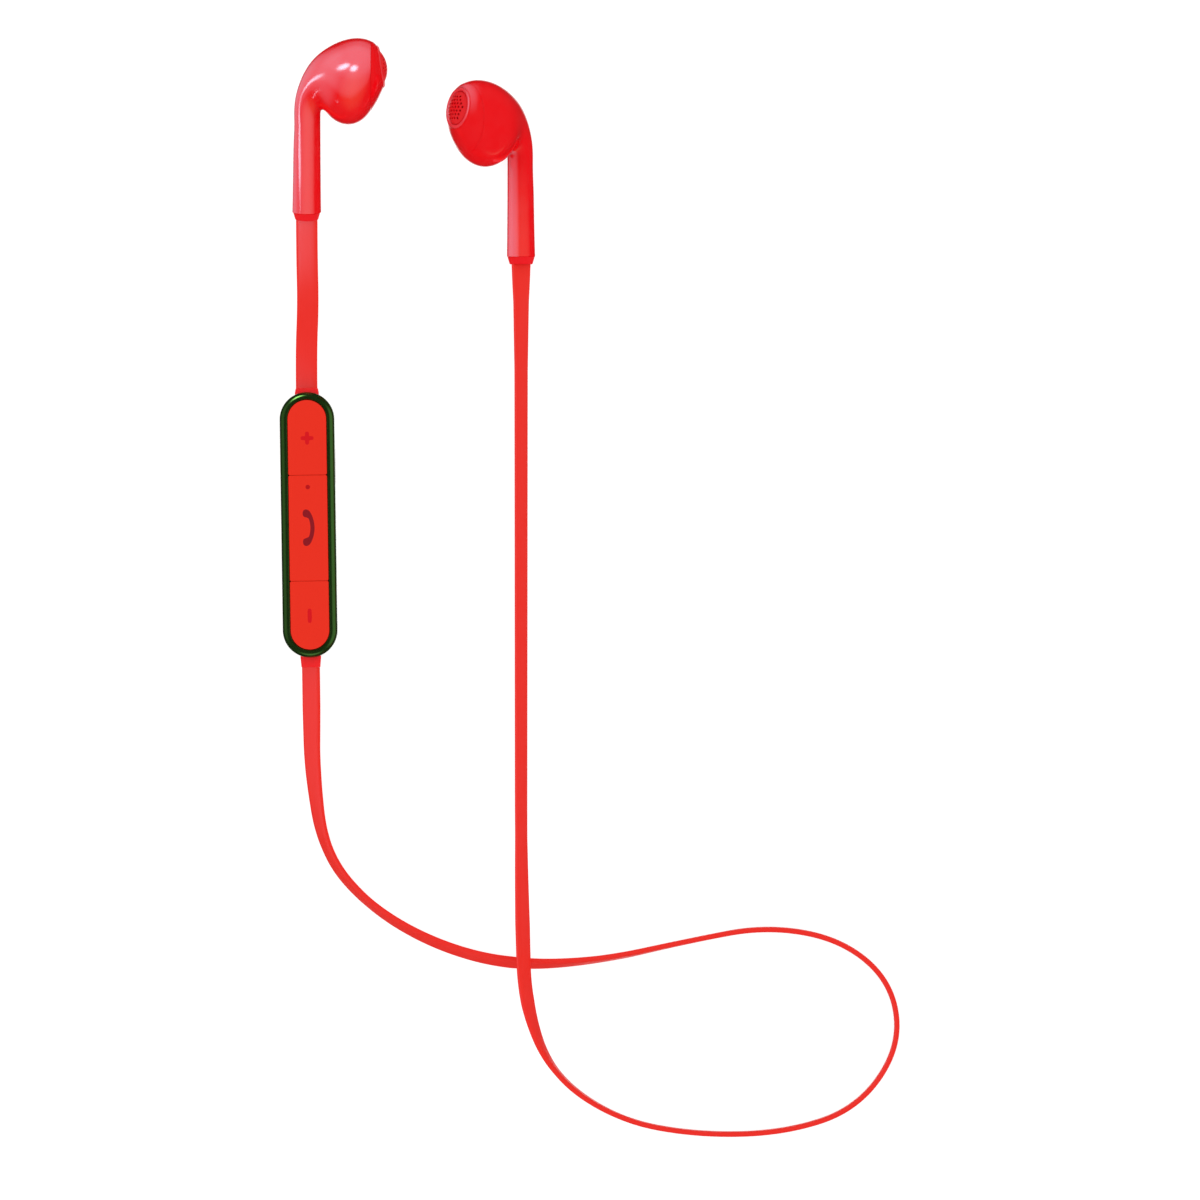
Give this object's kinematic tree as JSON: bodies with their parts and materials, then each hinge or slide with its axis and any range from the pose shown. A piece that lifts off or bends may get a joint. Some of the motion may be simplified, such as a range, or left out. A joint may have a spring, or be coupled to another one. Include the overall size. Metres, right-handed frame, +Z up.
{
  "type": "earphones",
  "caption": "Corded earphones with stem-shaped buds on a flat cord, and a slim in-line control pod with volume and call keys in a metal bezel.",
  "frame": {"origin": "middle of the footprint of the two buds and the pod, on the surface they lie on", "axes": "+X from the left bud to the right bud, +Y along the pod and the stems towards the buds' heads, +Z up from the surface"},
  "size_m": [0.127, 0.2249, 0.0164],
  "materials": {
    "shell_plastic": "injection-moulded, polished red",
    "port_ring_plastic": "moulded red, satin",
    "stem_plug_rubber": "moulded red elastomer",
    "mesh_steel": "etched sheet, red lacquer",
    "cord_elastomer": "extruded, satin red",
    "grommet_elastomer": "moulded, satin red",
    "bezel_metal": "polished and anodised dark green",
    "key_plastic": "moulded red, fine satin texture",
    "symbol_plastic": "second-shot moulded, dark red",
    "lens_plastic": "dark red clear light pipe",
    "cover_plastic": "moulded red, fine satin texture",
    "board_laminate": "glass-epoxy laminate, green solder mask",
    "switch_steel": "stamped spring steel",
    "port_steel": "nickel-plated sheet",
    "shield_steel": "tin-plated sheet",
    "battery_foil": "laminated foil pouch",
    "antenna_ceramic": "fired ceramic",
    "led_resin": "clear moulding resin",
    "capsule_metal": "drawn can",
    "boot_rubber": "moulded, matte black",
    "frame_plastic": "moulded, black",
    "gasket_foam": "closed-cell foam",
    "yoke_steel": "zinc-plated soft steel",
    "magnet_nickel": "nickel-plated",
    "coil_copper": "enamelled copper wire",
    "diaphragm_film": "formed polyester film",
    "surround_film": "formed elastomer film",
    "wire_insulation": "thin insulated wire",
    "terminal_laminate": "glass-epoxy laminate"
  },
  "bodies": {
    "headset": {"back_cover": "cover_plastic", "battery": "battery_foil", "bezel_frame": "bezel_metal", "charging_receptacle": "port_steel", "chip_antenna": "antenna_ceramic", "circuit_board": "board_laminate", "dome_switches": "switch_steel", "indicator_led": "led_resin", "left_driver_frame": "frame_plastic", "left_front_gasket": "gasket_foam", "left_front_shell": "shell_plastic", "left_lead_wires": "wire_insulation", "left_magnet": "magnet_nickel", "left_port_mesh": "mesh_steel", "left_port_ring": "port_ring_plastic", "left_rear_shell": "shell_plastic", "left_stem_plug": "stem_plug_rubber", "left_surround": "surround_film", "left_terminal_board": "terminal_laminate", "left_top_plate": "yoke_steel", "left_yoke": "yoke_steel", "long_cord": "cord_elastomer", "lower_grommet": "grommet_elastomer", "microphone": "capsule_metal", "microphone_boot": "boot_rubber", "radio_shield": "shield_steel", "right_driver_frame": "frame_plastic", "right_front_gasket": "gasket_foam", "right_front_shell": "shell_plastic", "right_lead_wires": "wire_insulation", "right_magnet": "magnet_nickel", "right_port_mesh": "mesh_steel", "right_port_ring": "port_ring_plastic", "right_rear_shell": "shell_plastic", "right_stem_plug": "stem_plug_rubber", "right_surround": "surround_film", "right_terminal_board": "terminal_laminate", "right_top_plate": "yoke_steel", "right_yoke": "yoke_steel", "short_cord": "cord_elastomer", "upper_grommet": "grommet_elastomer"},
    "plus_key": {"plus_button": "key_plastic", "plus_symbol": "symbol_plastic"},
    "call_key": {"call_button": "key_plastic", "handset_symbol": "symbol_plastic", "indicator_lens": "lens_plastic"},
    "minus_key": {"minus_button": "key_plastic", "minus_symbol": "symbol_plastic"},
    "left_cone": {"left_diaphragm": "diaphragm_film", "left_voice_coil": "coil_copper"},
    "right_cone": {"right_diaphragm": "diaphragm_film", "right_voice_coil": "coil_copper"}
  },
  "joints": [
    {"name": "plus_press", "type": "slide", "parent": "headset", "child": "plus_key", "axis": [0, 0, -1], "range_m": [0, 0.00025], "stiffness_N_per_m": 5000},
    {"name": "call_press", "type": "slide", "parent": "headset", "child": "call_key", "axis": [0, 0, -1], "range_m": [0, 0.00025], "stiffness_N_per_m": 5000},
    {"name": "minus_press", "type": "slide", "parent": "headset", "child": "minus_key", "axis": [0, 0, -1], "range_m": [0, 0.00025], "stiffness_N_per_m": 5000},
    {"name": "left_cone_stroke", "type": "slide", "parent": "headset", "child": "left_cone", "axis": [1, 0, 0], "range_m": [-0.00015, 0.00015], "stiffness_N_per_m": 400},
    {"name": "right_cone_stroke", "type": "slide", "parent": "headset", "child": "right_cone", "axis": [-0.8387, 0, 0.5446], "range_m": [-0.00015, 0.00015], "stiffness_N_per_m": 400}
  ]
}
